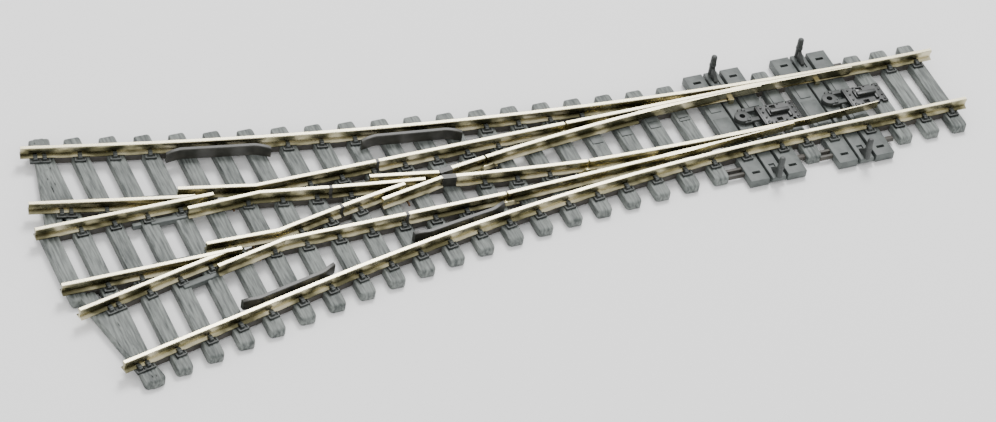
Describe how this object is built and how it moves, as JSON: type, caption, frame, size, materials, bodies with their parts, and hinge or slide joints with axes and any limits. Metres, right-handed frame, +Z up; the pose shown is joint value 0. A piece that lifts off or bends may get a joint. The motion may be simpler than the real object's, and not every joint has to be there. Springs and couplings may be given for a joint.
{
  "type": "model railway turnout",
  "caption": "Three-way turnout for 16.5 mm gauge model track: stock rails, pivoting blades, frogs and check rails on a moulded sleeper base, with sliding tie bars that set the route.",
  "frame": {"origin": "under the middle of the turnout, on its resting face", "axes": "+X along the straight route towards the single-track end, +Y across the track, to the right of a train leaving the single-track end, +Z up"},
  "size_m": [0.22, 0.0778, 0.0074],
  "materials": {
    "sleeper_plastic": "moulded, fine wood grain, dark grey-green",
    "bar_plastic": "smooth moulded, dark grey-green",
    "cover_plastic": "smooth moulded, darker grey",
    "black_plastic": "satin moulded, black",
    "rail_metal": "drawn nickel silver, bright polished running surface",
    "clip_metal": "folded sheet",
    "copper_wire": "plain drawn copper wire",
    "spring_wire": "drawn spring wire"
  },
  "bodies": {
    "base": {"sleeper_base": "sleeper_plastic", "stock_rail_right": "rail_metal", "stock_rail_left": "rail_metal", "closure_rail_right": "rail_metal", "closure_rail_left": "rail_metal", "inner_closure_right": "rail_metal", "inner_closure_left": "rail_metal", "centre_frog_point_rail": "rail_metal", "centre_frog_splice_rail": "rail_metal", "centre_frog_wing_right": "rail_metal", "centre_frog_wing_left": "rail_metal", "right_frog_point_rail": "rail_metal", "right_frog_splice_rail": "rail_metal", "right_frog_outer_wing": "rail_metal", "right_frog_inner_wing": "rail_metal", "left_frog_point_rail": "rail_metal", "left_frog_splice_rail": "rail_metal", "left_frog_outer_wing": "rail_metal", "left_frog_inner_wing": "rail_metal", "knuckle_insulator_right": "black_plastic", "knuckle_insulator_left": "black_plastic", "gap_fillers": "black_plastic", "check_rail_right_heel": "black_plastic", "check_rail_right_middle": "black_plastic", "check_rail_left_heel": "black_plastic", "check_rail_left_middle": "black_plastic", "first_spring_cover": "cover_plastic", "second_spring_cover": "cover_plastic", "first_clip_right": "clip_metal", "first_clip_left": "clip_metal", "bond_wire_right": "copper_wire", "bond_wire_left": "copper_wire", "bond_wire_centre": "copper_wire"},
    "first_bar": {"first_tie_bar": "bar_plastic", "first_spring": "spring_wire"},
    "first_right_blade": {"first_blade_right": "rail_metal"},
    "first_left_blade": {"first_blade_left": "rail_metal"},
    "second_spring_link": {"second_spring": "spring_wire"},
    "second_bar": {"second_tie_bar": "bar_plastic"},
    "second_right_clip": {"second_clip_right": "clip_metal"},
    "second_left_clip": {"second_clip_left": "clip_metal"},
    "second_right_blade": {"second_blade_right": "rail_metal"},
    "second_left_blade": {"second_blade_left": "rail_metal"}
  },
  "joints": [
    {"name": "first_bar_throw", "type": "slide", "parent": "base", "child": "first_bar", "axis": [0, -1, 0], "range_m": [0, 0.0034], "deforming": ["first_spring"]},
    {"name": "first_right_blade_swing", "type": "hinge", "parent": "base", "child": "first_right_blade", "pos_m": [0.0155, 0.00875, 0.003], "axis": [0, 0, -1], "range_deg": [0, 3.04]},
    {"name": "first_left_blade_swing", "type": "hinge", "parent": "base", "child": "first_left_blade", "pos_m": [0.0155, -0.00413, 0.003], "axis": [0, 0, -1], "range_deg": [0, 3.04]},
    {"name": "second_spring_shift", "type": "slide", "parent": "base", "child": "second_spring_link", "axis": [0, -1, 0], "range_m": [0, 0.0023]},
    {"name": "second_bar_throw", "type": "slide", "parent": "second_spring_link", "child": "second_bar", "axis": [0, 1, 0], "range_m": [-0.0023, 0], "deforming": ["second_spring", "second_blade_left"]},
    {"name": "second_right_clip_swing", "type": "hinge", "parent": "base", "child": "second_right_clip", "pos_m": [-0.0066, 0.00341, 0.002], "axis": [0, 0, -1], "range_deg": [0, 2.07]},
    {"name": "second_left_clip_swing", "type": "hinge", "parent": "base", "child": "second_left_clip", "pos_m": [-0.0066, -0.00875, 0.002], "axis": [0, 0, -1], "range_deg": [0, 2.07]},
    {"name": "second_right_blade_swing", "type": "hinge", "parent": "second_right_clip", "child": "second_right_blade", "pos_m": [-0.0066, 0.00341, 0.003], "axis": [0, 0, 1], "range_deg": [-2.07, 0]},
    {"name": "second_left_blade_swing", "type": "hinge", "parent": "second_left_clip", "child": "second_left_blade", "pos_m": [-0.0066, -0.00875, 0.003], "axis": [0, 0, 1], "range_deg": [-2.07, 0]}
  ],
  "couplings": [
    {"joint": "first_right_blade_swing", "follows": "first_bar_throw", "rad_per_m": 15.574},
    {"joint": "first_left_blade_swing", "follows": "first_bar_throw", "rad_per_m": 15.574},
    {"joint": "second_spring_shift", "follows": "first_bar_throw", "ratio": 0.67647},
    {"joint": "second_right_clip_swing", "follows": "first_bar_throw", "rad_per_m": 10.632},
    {"joint": "second_left_clip_swing", "follows": "first_bar_throw", "rad_per_m": 10.632},
    {"joint": "second_right_blade_swing", "follows": "second_bar_throw", "rad_per_m": 15.716},
    {"joint": "second_left_blade_swing", "follows": "second_bar_throw", "rad_per_m": 15.716}
  ]
}
